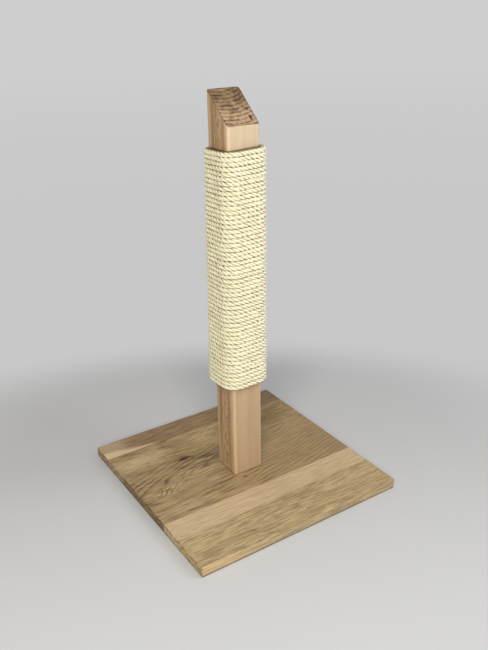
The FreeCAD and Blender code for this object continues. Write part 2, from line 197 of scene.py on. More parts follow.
def rope_noise(spacing):
    """Smooth random values between -1 and 1 along the rope, a new one at each spacing."""
    values = route_random.uniform(-1, 1, NOISE_COUNT)

    def at(distance):
        place = np.clip(distance / spacing, 0, NOISE_COUNT - 1.001)
        before = place.astype(int)
        share = eased(place - before)
        return values[before] * (1 - share) + values[before + 1] * share
    return at


sway = rope_noise(34 * MM)
slack = rope_noise(21 * MM)
twist_drift = rope_noise(60 * MM)
swell = [rope_noise(11 * MM) for _ in range(STRANDS)]
shift = [rope_noise(14 * MM) for _ in range(STRANDS)]


def lay_angle(distance, strand):
    """The angle of a strand's centre, from outward towards up."""
    return (2 * math.pi * (strand / STRANDS - distance / LAY)
            + UNEVEN_LAY * twist_drift(distance) + UNEVEN_STRAND_LAY * shift[strand](distance))


def laid(distance, outward, upward):
    """Points of a straight rope, bent to the rope's route round the post."""
    x, y, z, out_x, out_y = rope_place(np.clip(distance, 0, ROPE_LENGTH))
    from_end = np.minimum(distance, ROPE_LENGTH - distance)
    free = eased(np.clip((from_end - HOLE_RUN) / (HOLE_ARC + FULL_AFTER_BEND), 0, 1))
    outward = outward * (HOLE_SQUEEZE + (OUTWARD_SWELL - HOLE_SQUEEZE) * free)
    upward = upward * (HOLE_SQUEEZE + (UPRIGHT_SQUEEZE - HOLE_SQUEEZE) * free)
    high = (z - ROPE_LOW) / ROPE_RISE
    loose = LOOSE_LOW + (LOOSE_HIGH - LOOSE_LOW) * high
    lean_x, lean_y = (LEAN_LOW[:, None] + (LEAN_HIGH - LEAN_LOW)[:, None] * high) * free
    outward = outward + (loose + UNEVEN_PLACE * slack(distance)) * free
    upward = upward + UNEVEN_PLACE * sway(distance) * free
    return np.stack([x + out_x * outward + lean_x,
                     y + out_y * outward + lean_y,
                     z + upward], axis=-1)


def strand_surface(distance, strand, around):
    """Points on a strand's skin, in the straight rope's own directions."""
    angle = lay_angle(distance, strand)
    radius = STRAND_RADIUS * (1 + UNEVEN_THICKNESS * swell[strand](distance))
    turn_rate = -2 * math.pi / LAY * STRAND_OFFSET
    slant = math.atan(turn_rate)
    outward_part = STRAND_OFFSET + radius * np.cos(around)
    across_part = radius * np.sin(around)
    along = distance - across_part * math.sin(slant)
    sideways = across_part * math.cos(slant)
    outward = outward_part * np.cos(angle) - sideways * np.sin(angle)
    upward = outward_part * np.sin(angle) + sideways * np.cos(angle)
    return along, outward, upward


def make_strand(strand):
    """One strand from end to end. Its lay is the distance along the rope, the way round the
    strand and the height outward from the rope's middle."""
    rings = int(ROPE_LENGTH / RING_STEP)
    distance = np.linspace(END_GAP, ROPE_LENGTH - END_GAP, rings)
    side = 2 * math.pi * (np.arange(RING_SIDES) + 0.5) / RING_SIDES - math.pi
    around = side + SIDE_EASE * np.sin(side)
    grid_distance, grid_around = np.meshgrid(distance, around, indexing="ij")
    along, outward, upward = strand_surface(grid_distance.ravel(), strand, grid_around.ravel())
    points = laid(along, outward, upward)
    lay = np.stack([grid_distance.ravel() + strand * STRAND_SHIFT,
                    grid_around.ravel() * STRAND_RADIUS, outward], axis=-1)
    quads = tube_quads(1, rings, RING_SIDES)
    return make_mesh("rope_strand_%d" % (strand + 1), points, quads, lay)


# ---- loose fibres on the rope --------------------------------------------------------------------

FIBRES = 6500
FIBRE_RINGS = 6
FIBRE_SIDES = 3
FIBRE_RADIUS = 0.11 * MM
FIBRE_TAPER = 0.75

# A fibre starts inside a strand's skin, rises by a share of its length, and reaches less far
# along the rope where it rises high.
FIBRE_SHORTEST_MM = 4
FIBRE_LONGEST_MM = 15
FIBRE_ROOT = 0.8
FIBRE_RISE = 0.5
FIBRE_CURVE = 1.5
FIBRE_SHORTENING = 0.25
LEAST_LIFT = 0.05
FACING_SPREAD = 1.3
STRAY_SPREAD = 0.4

# Each fibre's section is set up from its own direction and this fixed slanting one.
FIBRE_UP = np.array([0.31, 0.22, 0.92])


def make_fibres():
    """Loose fibres that start along the rope's skin and curl away from it."""
    random = np.random.RandomState(SEED + 1)
    start = random.uniform(HOLE_RUN + HOLE_ARC, ROPE_LENGTH - HOLE_RUN - HOLE_ARC, FIBRES)
    facing = random.uniform(-FACING_SPREAD, FACING_SPREAD, FIBRES)
    length = random.uniform(FIBRE_SHORTEST_MM, FIBRE_LONGEST_MM, FIBRES) * MM
    lift = random.uniform(LEAST_LIFT, 1.0, FIBRES) ** 2.0
    heading = random.choice([-1.0, 1.0], FIBRES)
    stray = random.uniform(-STRAY_SPREAD, STRAY_SPREAD, FIBRES)
    share = np.linspace(0, 1, FIBRE_RINGS)[None, :]
    shortened = 1 - FIBRE_SHORTENING * lift[:, None] * share
    distance = start[:, None] + (heading * length)[:, None] * share * shortened
    root = STRAND_OFFSET + FIBRE_ROOT * STRAND_RADIUS
    rise = root + (FIBRE_RISE * length * lift)[:, None] * share ** FIBRE_CURVE
    angle = facing[:, None] + stray[:, None] * share
    outward = rise * np.cos(angle)
    upward = rise * np.sin(angle)
    centre = laid(distance.ravel(), outward.ravel(), upward.ravel())
    centre = centre.reshape(FIBRES, FIBRE_RINGS, 3)
    along = np.gradient(centre, axis=1)
    along /= np.linalg.norm(along, axis=2, keepdims=True)
    sideways = np.cross(along, FIBRE_UP)
    sideways /= np.linalg.norm(sideways, axis=2, keepdims=True)
    upright = np.cross(along, sideways)
    radius = FIBRE_RADIUS * (1 - FIBRE_TAPER * share ** 2)[:, :, None, None]
    corner = 2 * math.pi * np.arange(FIBRE_SIDES) / FIBRE_SIDES
    around = (sideways[:, :, None, :] * np.cos(corner)[:, None]
              + upright[:, :, None, :] * np.sin(corner)[:, None])
    points = centre[:, :, None, :] + radius * around
    quads = tube_quads(FIBRES, FIBRE_RINGS, FIBRE_SIDES)
    return make_mesh("rope_fibres", points.reshape(-1, 3), quads)


# ---- materials -----------------------------------------------------------------------------------

class Graph:
    """A material's nodes, with short calls for the ones used here."""

    def __init__(self, name):
        self.material = bpy.data.materials.new(name)
        self.material.use_nodes = True
        self.tree = self.material.node_tree
        self.tree.nodes.clear()
        self.output = self.add("ShaderNodeOutputMaterial")
        self.shader = self.add("ShaderNodeBsdfPrincipled")
        self.tree.links.new(self.shader.outputs[0], self.output.inputs["Surface"])

    def add(self, kind, **settings):
        """A new node of one kind, with its settings."""
        node = self.tree.nodes.new(kind)
        for key, value in settings.items():
            setattr(node, key, value)
        return node

    def put(self, value, socket):
        """A link from another node, or a fixed value; None leaves the socket as it is."""
        if isinstance(value, bpy.types.NodeSocket):
            self.tree.links.new(value, socket)
        elif value is not None:
            socket.default_value = value

    def place(self):
        """Where a point is, in metres along X, Y and Z."""
        return self.add("ShaderNodeTexCoord").outputs["Object"]

    def facing(self):
        """Which way the surface faces at a point."""
        return self.add("ShaderNodeTexCoord").outputs["Normal"]

    def math(self, operation, first, second=None, clamp=False):
        """The result of one arithmetic operation on numbers or sockets."""
        node = self.add("ShaderNodeMath", operation=operation, use_clamp=clamp)
        for value, socket in zip((first, second), node.inputs):
            self.put(value, socket)
        return node.outputs[0]

    def plus(self, first, second, clamp=False):
        return self.math("ADD", first, second, clamp)

    def minus(self, first, second):
        return self.math("SUBTRACT", first, second)

    def times(self, first, second):
        return self.math("MULTIPLY", first, second)

    def clamped(self, value):
        """The value, kept between nought and one."""
        return self.math("MULTIPLY", value, 1.0, clamp=True)

    def length(self, first, second):
        """The length of a vector that has these two parts."""
        return self.math("SQRT", self.plus(self.times(first, first), self.times(second, second)))

    def split(self, vector):
        """A vector's three parts."""
        node = self.add("ShaderNodeSeparateXYZ")
        self.put(vector, node.inputs[0])
        return node.outputs

    def join(self, x, y, z):
        """A vector of three parts."""
        node = self.add("ShaderNodeCombineXYZ")
        for value, socket in zip((x, y, z), node.inputs):
            self.put(value, socket)
        return node.outputs[0]

    def plane(self, first, second, first_scale, second_scale, third=0.0):
        """A place for noise, made of two measures with a scale for each."""
        return self.join(self.times(first, first_scale), self.times(second, second_scale), third)

    def scaled(self, vector, factors):
        """A vector with each part times its own factor."""
        node = self.add("ShaderNodeVectorMath", operation="MULTIPLY")
        self.put(vector, node.inputs[0])
        node.inputs[1].default_value = factors
        return node.outputs[0]

    def noise(self, vector, scale=1.0, detail=3.0, roughness=0.5):
        """Smooth random values between nought and one."""
        node = self.add("ShaderNodeTexNoise")
        self.put(vector, node.inputs["Vector"])
        node.inputs["Scale"].default_value = scale
        node.inputs["Detail"].default_value = detail
        node.inputs["Roughness"].default_value = roughness
        return node.outputs["Fac"]

    def fit(self, value, low, high, new_low=0.0, new_high=1.0):
        """A value's range, moved and clamped to another one, with eased ends."""
        node = self.add("ShaderNodeMapRange", interpolation_type="SMOOTHSTEP")
        self.put(value, node.inputs["Value"])
        for name, number in (("From Min", low), ("From Max", high),
                             ("To Min", new_low), ("To Max", new_high)):
            node.inputs[name].default_value = number
        return node.outputs["Result"]

    def blend(self, share, first, second):
        """The first colour where the share is nought, and the second where it is one."""
        node = self.add("ShaderNodeMix", data_type="RGBA")
        self.put(share, node.inputs["Factor"])
        colour_inputs = [socket for socket in node.inputs if socket.type == "RGBA"]
        for value, socket in zip((first, second), colour_inputs):
            self.put((*value, 1.0) if isinstance(value, tuple) else value, socket)
        return [socket for socket in node.outputs if socket.type == "RGBA"][0]

    def bump(self, height, distance):
        """The direction of a surface that a height pattern roughens."""
        node = self.add("ShaderNodeBump")
        node.inputs["Strength"].default_value = 1.0
        node.inputs["Distance"].default_value = distance
        self.put(height, node.inputs["Height"])
        return node.outputs["Normal"]

    def finish(self, colour, roughness, normal=None, **sockets):
        """The material, with its colour, roughness and further values by socket name."""
        self.put(colour, self.shader.inputs["Base Color"])
        self.put(roughness, self.shader.inputs["Roughness"])
        self.put(normal, self.shader.inputs["Normal"])
        for name, value in sockets.items():
            self.shader.inputs[name.replace("_", " ")].default_value = value
        return self.material


def give(piece, material):
    """One material on the whole piece."""
    if not piece.material_slots:
        piece.data.materials.append(material)
    for place in piece.material_slots:
        place.material = material


def darker(colour, share):
    """A colour with each channel cut to this share."""
    return tuple(channel * share for channel in colour)


def centred(graph, value, strength):
    """A value between nought and one, moved to swing about nought with this strength."""
    return graph.times(graph.minus(value, 0.5), strength)


def stripe(graph, value, centre, half, soft):
    """One inside a band of the value's range, easing to nought outside it."""
    from_centre = graph.math("ABSOLUTE", graph.minus(value, centre))
    return graph.fit(from_centre, half, half + soft, 1.0, 0.0)


# ---- wood: what oak and beech share --------------------------------------------------------------

WAVER_ALONG = 7.0
WAVER_ACROSS = 24.0
POROUS_SHARE = 0.34
LATE_POWER = 5.0
LATE_DARKNESS = 0.7


def growth_rings(graph, along, across, deep, spacing, waviness):
    """How dark the wood is across each growth ring.

    A ring starts with a sharp porous line that fades outward, and darkens again at its end."""
    waver_place = graph.join(graph.times(along, WAVER_ALONG), graph.times(across, WAVER_ACROSS),
                             graph.times(deep, WAVER_ACROSS))
    waver = graph.noise(waver_place, detail=4.0, roughness=0.6)
    distance = graph.plus(graph.length(across, deep), centred(graph, waver, waviness))
    within = graph.math("FRACT", graph.math("DIVIDE", distance, spacing))
    porous = graph.fit(within, 0.0, POROUS_SHARE, 1.0, 0.0)
    late = graph.times(graph.math("POWER", within, LATE_POWER), LATE_DARKNESS)
    return graph.math("MAXIMUM", porous, late)


SPOT_RAGGED = 1.2


def spot(at_x, at_y, long, wide, colour, strength):
    """A ragged oval mark, such as a knot or a pale patch, with its half-sizes along X and Y."""
    def mark(graph, x, y, under):
        from_x = graph.math("DIVIDE", graph.minus(x, at_x), long)
        from_y = graph.math("DIVIDE", graph.minus(y, at_y), wide)
        ragged = graph.noise(graph.plane(x, y, 60.0, 180.0), detail=3.0, roughness=0.6)
        distance = graph.plus(graph.length(from_x, from_y), centred(graph, ragged, SPOT_RAGGED))
        return graph.blend(graph.fit(distance, 0.2, 1.0, strength, 0.0), under, colour)
    return mark


# ---- oak -----------------------------------------------------------------------------------------

RING_WAVINESS = 18 * MM
DASH_DARKNESS = 0.72
PORE_DARKNESS = 0.4
END_DARKNESS = 0.5
SEAM_WIDTH = 0.6 * MM
SEAM_BROWN = (0.12, 0.075, 0.038)
# The long sides' colours at the left end and at the right; the left end's are paler, a painted
# highlight.
SIDE_HIGHLIGHT_PALE = (0.63, 0.455, 0.25)
SIDE_HIGHLIGHT_DARK = (0.30, 0.20, 0.09)
SIDE_RIGHT_LIGHT = (0.48, 0.37, 0.205)
SIDE_RIGHT_DARK = (0.225, 0.16, 0.078)
# Painted shadow along the bottom of the board's sides.
FLOOR_CONTACT_SHADOW = (0.04, 0.028, 0.02)


def stretched(graph, place, along, across, detail=3.0, roughness=0.55):
    """Noise in streaks along X, with its scales along and across them."""
    return graph.noise(graph.scaled(place, (along, across, across)), detail=detail,
                       roughness=roughness)


def oak(number, light, dark, end_grain, pith, tilt, dive, spacing, figure, contrast, dashed,
        calm_right=1.0, marks=()):
    """Oiled oak with its grain along X: growth rings, open pores, streaks and slow shading.

    The pith is a point on the rings' axis: its X, its Y and how deep it lies under the stave's
    top. Going right, the axis runs to the rear by the tilt and down by the dive. The spacing is
    one growth ring. Figure, contrast and dashed say how strongly the rings, the texture and the
    short dark dashes show, and calm_right how much of them is left on the right."""
    graph = Graph("oak_stave_%d" % number)
    place = graph.place()
    x, y, z = graph.split(place)
    stave = "base_stave_%d" % number
    low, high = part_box(stave)
    pith_x, pith_y, pith_deep = pith
    from_pith = graph.minus(x, pith_x)
    across = graph.minus(graph.minus(y, pith_y), graph.times(from_pith, tilt))
    deep = graph.plus(graph.minus(z, high.z - pith_deep), graph.times(from_pith, dive))
    rings = growth_rings(graph, x, across, deep, spacing, RING_WAVINESS)
    clear = graph.fit(stretched(graph, place, 9.0, 22.0, detail=2.0), 0.38, 0.58, 0.2, 1.0)
    lively = graph.fit(x, -0.05, 0.06, 1.0, calm_right)
    rings = graph.times(graph.times(rings, clear), lively)

    fine = stretched(graph, place, 15.0, 1000.0, detail=4.0)
    grain = graph.fit(stretched(graph, place, 26.0, 330.0, detail=4.0, roughness=0.6), 0.38, 0.62)
    streaks = stretched(graph, place, 9.0, 120.0, detail=5.0, roughness=0.65)
    blotches = stretched(graph, place, 10.0, 24.0, detail=4.0, roughness=0.6)
    texture = graph.times(centred(graph, grain, 0.60), contrast)
    for value, strength in ((fine, 1.5), (streaks, 0.7), (blotches, 0.5)):
        texture = graph.plus(texture, centred(graph, value, strength * contrast))
    ground = 0.38 - 0.2 * figure
    share = graph.plus(graph.times(rings, figure), ground)
    share = graph.plus(share, graph.times(texture, lively), clamp=True)
    colour = graph.blend(share, light, dark)

    dashes = stretched(graph, place, 55.0, 480.0, detail=2.0, roughness=0.5)
    dashes = graph.fit(dashes, 0.55, 0.62)
    where = graph.fit(stretched(graph, place, 14.0, 30.0, detail=2.0), 0.42, 0.62)
    dashes = graph.times(graph.times(dashes, where), lively)
    colour = graph.blend(graph.times(dashes, dashed), colour, darker(dark, DASH_DARKNESS))
    for mark in marks:
        colour = mark(graph, x, y, colour)
    pores = stretched(graph, place, 70.0, 1700.0, detail=2.0, roughness=0.6)
    pores = graph.fit(pores, 0.58, 0.70)
    pores = graph.times(pores, graph.plus(graph.times(rings, 0.6), 0.3))
    colour = graph.blend(graph.times(pores, 0.65), colour, darker(dark, PORE_DARKNESS))
    seam = graph.math("MINIMUM", graph.minus(y, low.y), graph.minus(high.y, y))
    colour = graph.blend(graph.fit(seam, 0.0, SEAM_WIDTH, 0.6, 0.0), colour, SEAM_BROWN)

    facing_x, facing_y = graph.split(graph.facing())[:2]
    # The long sides take their own colour, growing paler towards the left end: a painted highlight.
    long_side = graph.fit(graph.math("ABSOLUTE", facing_y), 0.35, 0.8)
    highlight_fade = graph.fit(x, -0.20, 0.02)
    side_light = graph.blend(highlight_fade, SIDE_HIGHLIGHT_PALE, SIDE_RIGHT_LIGHT)
    side_dark = graph.blend(highlight_fade, SIDE_HIGHLIGHT_DARK, SIDE_RIGHT_DARK)
    colour = graph.blend(long_side, colour, graph.blend(share, side_light, side_dark))
    end = graph.fit(graph.math("ABSOLUTE", facing_x), 0.35, 0.8)
    mottle = graph.noise(graph.scaled(place, (90.0, 90.0, 160.0)), detail=3.0, roughness=0.6)
    end_colour = graph.blend(graph.fit(mottle, 0.38, 0.62), end_grain,
                             darker(end_grain, END_DARKNESS))
    colour = graph.blend(end, colour, end_colour)
    # Painted shadow: the lowest few millimetres of the sides darken where the board meets the
    # floor.
    near_floor = graph.fit(z, 1.6 * MM, 4.4 * MM, 1.0, 0.0)
    contact_shadow = graph.times(near_floor, graph.math("MAXIMUM", end, long_side))
    colour = graph.blend(graph.times(contact_shadow, 0.9), colour, FLOOR_CONTACT_SHADOW)

    rough = graph.plus(0.50, graph.times(fine, 0.25))
    height = graph.minus(graph.times(fine, 0.4), pores)
    return graph.finish(colour, rough, graph.bump(height, 0.15 * MM), IOR=1.46)


DARK_KNOT = (0.06, 0.032, 0.012)
BROWN_FIGURE = (0.21, 0.13, 0.055)
PALE_FIGURE = (0.78, 0.60, 0.38)
SAPWOOD = (0.80, 0.62, 0.39)
LOOP_RAGGED = 1.9


def loops(at_x, at_y, long, wide, spacing, half, low_y, high_y, strength):
    """Nested bows in the grain round a point, pale and dark, kept between two lines along it."""
    def mark(graph, x, y, under):
        ragged = graph.noise(graph.plane(x, y, 22.0, 70.0), detail=2.0)
        patchy = graph.noise(graph.plane(x, y, 22.0, 60.0, 3.0), detail=2.0, roughness=0.6)
        from_x = graph.math("DIVIDE", graph.minus(x, at_x), long)
        from_y = graph.math("DIVIDE", graph.minus(y, at_y), wide)
        reach = graph.plus(graph.length(from_x, from_y),
                           centred(graph, ragged, LOOP_RAGGED * spacing))
        line = graph.math("FRACT", graph.math("DIVIDE", reach, spacing))
        window = graph.times(stripe(graph, reach, 1.0, half, 0.5 * spacing),
                             stripe(graph, y, (low_y + high_y) / 2, (high_y - low_y) / 2, 7 * MM))
        window = graph.times(window, graph.fit(patchy, 0.38, 0.60, 0.15, 1.0))
        pale = graph.times(window, stripe(graph, line, 0.25, 0.08, 0.17))
        dark = graph.times(window, stripe(graph, line, 0.72, 0.05, 0.20))
        colour = graph.blend(graph.times(pale, strength), under, PALE_FIGURE)
        return graph.blend(graph.times(dark, strength), colour, BROWN_FIGURE)
    return mark


def sapwood(graph, x, y, under):
    """The rear stave's pale sapwood: a wedge along its front edge on the left, and its left end."""
    ragged = graph.noise(graph.plane(x, y, 20.0, 220.0), detail=3.0, roughness=0.6)
    edge = graph.plus(y, graph.times(x, 0.23))
    edge = graph.plus(edge, centred(graph, ragged, 12 * MM))
    pale = graph.fit(edge, 0.1200, 0.1320, 0.85, 0.0)
    end = graph.fit(graph.plus(x, centred(graph, ragged, 0.06)), -0.175, -0.125, 0.4, 0.0)
    return graph.blend(graph.math("MAXIMUM", pale, end), under, SAPWOOD)


# The staves from the rear to the front. A mark's place and half-sizes are in metres.
STAVES = (
    dict(light=(0.379, 0.252, 0.125), dark=(0.126, 0.0740, 0.0310), end_grain=(0.40, 0.28, 0.13),
         pith=(0.0, 0.12, 0.050), tilt=0.05, dive=0.05, spacing=6.5 * MM,
         figure=0.25, contrast=1.0, dashed=0.3, marks=(sapwood,)),
    dict(light=(0.540, 0.383, 0.187), dark=(0.182, 0.1135, 0.0480), end_grain=(0.46, 0.33, 0.18),
         pith=(0.0, 0.125, 0.045), tilt=-0.03, dive=-0.10, spacing=6.0 * MM,
         figure=0.25, contrast=1.0, dashed=0.3,
         marks=(spot(0.130, 0.100, 0.100, 0.035, BROWN_FIGURE, 0.5),
                spot(0.150, 0.125, 0.030, 0.008, BROWN_FIGURE, 0.4),
                spot(-0.075, 0.125, 0.045, 0.016, BROWN_FIGURE, 0.35),
                spot(-0.145, 0.110, 0.080, 0.030, PALE_FIGURE, 0.5))),
    dict(light=(0.470, 0.331, 0.167), dark=(0.154, 0.0931, 0.0420), end_grain=(0.27, 0.17, 0.07),
         pith=(-0.14, 0.006, 0.040), tilt=0.20, dive=-0.17, spacing=8.5 * MM,
         figure=0.85, contrast=0.9, dashed=0.4, calm_right=0.50,
         marks=(spot(-0.080, 0.071, 0.026, 0.0075, DARK_KNOT, 1.0),
                spot(-0.066, 0.063, 0.010, 0.0040, DARK_KNOT, 0.6),
                spot(-0.160, 0.073, 0.050, 0.0035, BROWN_FIGURE, 0.7),
                # Behind the post's left rear corner: a dark patch in the knot's colour, which is
                # painted shadow of the post, and thin dark and pale lines of grain figure.
                spot(-0.038, 0.056, 0.026, 0.0090, DARK_KNOT, 0.55),
                spot(-0.045, 0.040, 0.026, 0.0040, BROWN_FIGURE, 0.9),
                spot(-0.048, 0.029, 0.024, 0.0030, BROWN_FIGURE, 0.8),
                spot(-0.055, 0.048, 0.030, 0.0025, PALE_FIGURE, 0.5),
                spot(-0.060, 0.020, 0.034, 0.0030, PALE_FIGURE, 0.5),
                spot(-0.140, -0.058, 0.070, 0.016, PALE_FIGURE, 0.22),
                spot(-0.105, -0.018, 0.045, 0.022, BROWN_FIGURE, 0.22),
                loops(-0.060, -0.045, 0.110, 0.070, 0.090, 0.17, -0.006, 0.030, 0.42),
                spot(-0.015, -0.041, 0.009, 0.003, DARK_KNOT, 0.8))),
    dict(light=(0.729, 0.551, 0.333), dark=(0.384, 0.265, 0.138), end_grain=(0.62, 0.46, 0.24),
         pith=(0.0, 0.03, 0.030), tilt=0.01, dive=0.01, spacing=4.6 * MM,
         figure=0.2, contrast=0.6, dashed=0.15),
    dict(light=(0.627, 0.462, 0.247), dark=(0.251, 0.164, 0.0728), end_grain=(0.58, 0.42, 0.20),
         pith=(0.06, -0.158, 0.030), tilt=0.02, dive=-0.12, spacing=6.0 * MM,
         figure=0.22, contrast=1.0, dashed=0.4,
         marks=(spot(-0.140, -0.172, 0.060, 0.014, BROWN_FIGURE, 0.3),)),
)


# ---- beech ---------------------------------------------------------------------------------------

# The pith lies outside the post, behind its rear face.
PITH_X = -3 * MM
PITH_Y = 112 * MM
BEECH_RING = 5.4 * MM
BEECH_WAVINESS = 6 * MM
FLECK_BROWN = (0.13, 0.0651, 0.0279)
# Painted shade on the post's faces turned towards +X.
PAINTED_RIGHT_SHADE = (0.149, 0.0837, 0.0372)
RIM_BROWN = (0.0837, 0.0465, 0.0233)
CONTACT_SHADE = (0.0791, 0.0418, 0.0186)

# Dark stripes down the quartered faces: middle, half width, soft edge and strength.
DARK_STRIPES = ((14.0 * MM, 3.0 * MM, 5.0 * MM, 0.38),
                (-16.0 * MM, 2.0 * MM, 4.0 * MM, 0.30))

# The shade over the rope's upper rim, which rises from the rear left to the front right corner.
RIM_SLANT = 0.033
RIM_SHADE_LOW = 599.8 * MM
RIM_SHADE_HIGH = 601.0 * MM

# The shade over the board.
FOOT_SHADE_LOW = 18.6 * MM
FOOT_SHADE_HIGH = 21.5 * MM

TOP_MARKS = (spot(0.019, -0.019, 0.0028, 0.0075, (0.0279, 0.0112, 0.00465), 0.95),
             spot(0.0205, -0.0060, 0.0035, 0.0030, (0.0372, 0.0167, 0.00744), 0.9),
             spot(0.0110, 0.0080, 0.0110, 0.0018, (0.0465, 0.0233, 0.0093), 0.9),
             spot(-0.0210, 0.0170, 0.0070, 0.0025, (0.0465, 0.026, 0.0112), 0.85),
             spot(-0.0050, 0.0240, 0.0070, 0.0035, (0.391, 0.279, 0.158), 0.6))


def beech():
    """Sanded beech with its grain along Z, and sawn end grain on the sloping top."""
    graph = Graph("beech_post")
    place = graph.place()
    x, y, z = graph.split(place)
    normal_x, _, normal_z = graph.split(graph.facing())
    across = graph.plus(graph.minus(x, PITH_X), graph.times(z, 0.01))
    deep = graph.minus(graph.minus(y, PITH_Y), graph.times(z, 0.012))
    rings = growth_rings(graph, graph.times(z, 0.5), across, deep, BEECH_RING, BEECH_WAVINESS)
    fine = graph.noise(graph.scaled(place, (620.0, 620.0, 16.0)), detail=4.0, roughness=0.6)
    streaks = graph.noise(graph.scaled(place, (130.0, 130.0, 4.0)), detail=3.0, roughness=0.55)
    bands = graph.noise(graph.scaled(place, (45.0, 45.0, 2.5)), detail=2.0)
    side = graph.fit(graph.math("ABSOLUTE", normal_x), 0.5, 0.9)
    top = graph.fit(normal_z, 0.25, 0.5)
    high = graph.fit(z, 0.02, 0.62)

    share = graph.plus(graph.times(rings, 0.12), 0.14)
    for value, strength in ((fine, 0.6), (streaks, 0.9), (bands, 0.9)):
        share = graph.plus(share, centred(graph, value, strength))
    pale = graph.blend(high, (0.479, 0.332, 0.194), (0.651, 0.512, 0.344))
    brown = graph.blend(high, (0.344, 0.216, 0.113), (0.502, 0.358, 0.219))
    plain = graph.blend(graph.clamped(share), pale, brown)

    wander = graph.plus(y, centred(graph, bands, 16 * MM))
    flecks = graph.noise(graph.scaled(place, (60.0, 330.0, 75.0)), detail=2.0, roughness=0.6)
    flecks = graph.times(graph.fit(flecks, 0.53, 0.62),
                         stripe(graph, wander, -2.0 * MM, 8.0 * MM, 8.0 * MM))
    radial = graph.plus(0.22, graph.times(rings, 0.25))
    for centre, half, soft, strength in DARK_STRIPES:
        dark_stripe = stripe(graph, wander, centre, half, soft)
        radial = graph.plus(radial, graph.times(dark_stripe, strength))
    for value, strength in ((fine, 1.0), (streaks, 1.6)):
        radial = graph.plus(radial, centred(graph, value, strength))
    quartered = graph.blend(graph.clamped(radial), (0.67, 0.455, 0.262), (0.27, 0.163, 0.068))
    quartered = graph.blend(graph.times(flecks, 0.6), quartered, FLECK_BROWN)
    colour = graph.blend(side, plain, quartered)

    from_x = graph.math("ABSOLUTE", x)
    from_y = graph.math("ABSOLUTE", y)
    # Painted highlight along the rounded vertical arrises, paler higher up.
    arris_highlight = graph.fit(graph.plus(from_x, from_y), 52.0 * MM, 55.5 * MM)
    arris_highlight_colour = graph.blend(high, (0.651, 0.456, 0.279), (0.781, 0.614, 0.428))
    colour = graph.blend(graph.times(arris_highlight, 0.6), colour, arris_highlight_colour)
    # Painted shade darkens the faces turned towards +X.
    colour = graph.blend(graph.fit(normal_x, 0.35, 0.85, 0.0, 0.45), colour, PAINTED_RIGHT_SHADE)

    rough_sawn = graph.noise(graph.scaled(place, (160.0, 160.0, 160.0)), detail=4.0, roughness=0.65)
    blots = graph.noise(graph.scaled(place, (55.0, 75.0, 60.0)), detail=3.0, roughness=0.6)
    end = graph.plus(graph.times(rings, 0.95), centred(graph, rough_sawn, 2.8))
    end = graph.plus(end, centred(graph, blots, 1.5), clamp=True)
    upper = graph.fit(graph.plus(z, centred(graph, blots, 40 * MM)), 0.645, 0.674)
    end_light = graph.blend(upper, (0.479, 0.331, 0.203), (0.246, 0.16, 0.0790))
    end_dark = graph.blend(upper, (0.14, 0.0763, 0.0353), (0.0651, 0.0335, 0.013))
    end_colour = graph.blend(end, end_light, end_dark)
    for mark in TOP_MARKS:
        end_colour = mark(graph, x, y, end_colour)
    outer = graph.math("MAXIMUM", from_x, from_y)
    rim = graph.times(graph.fit(outer, 26.0 * MM, 28.5 * MM), 0.5)
    colour = graph.blend(top, colour, graph.blend(rim, end_colour, RIM_BROWN))

    above_rim = graph.minus(z, graph.times(graph.minus(x, y), RIM_SLANT))
    shade = graph.fit(above_rim, RIM_SHADE_LOW, RIM_SHADE_HIGH, 0.75, 0.0)
    shade = graph.times(shade, graph.fit(z, 0.56, 0.57))
    foot = graph.fit(z, FOOT_SHADE_LOW, FOOT_SHADE_HIGH, 0.6, 0.0)
    colour = graph.blend(graph.math("MAXIMUM", shade, foot), colour, CONTACT_SHADE)

    rough = graph.plus(0.44, graph.times(fine, 0.24))
    height = graph.minus(graph.times(fine, 0.4), graph.times(graph.times(rings, top), 1.2))
    return graph.finish(colour, rough, graph.bump(height, 0.12 * MM), IOR=1.45)


# ---- sisal and zinc ------------------------------------------------------------------------------

# The rope's left side has a darker straw tone and browner grooves than its other sides: painted
# shade.
CREAM = (0.955, 0.92, 0.705)
LEFT_SHADED_CREAM = (0.96, 0.91, 0.68)
STRAW = (0.83, 0.755, 0.48)
LEFT_SHADED_STRAW = (0.66, 0.57, 0.32)
PATCH_STRAW = (0.89, 0.84, 0.58)
# Painted shade in the grooves between strands and on their inner sides: its colours and strengths,
# plain and on the left side.
GROOVE_SHADE_BROWN = (0.26, 0.19, 0.075)
LEFT_GROOVE_SHADE_BROWN = (0.20, 0.125, 0.04)
GROOVE_SHADE = 0.78
LEFT_GROOVE_SHADE = 0.16
FIBRE_SLANT = 0.45


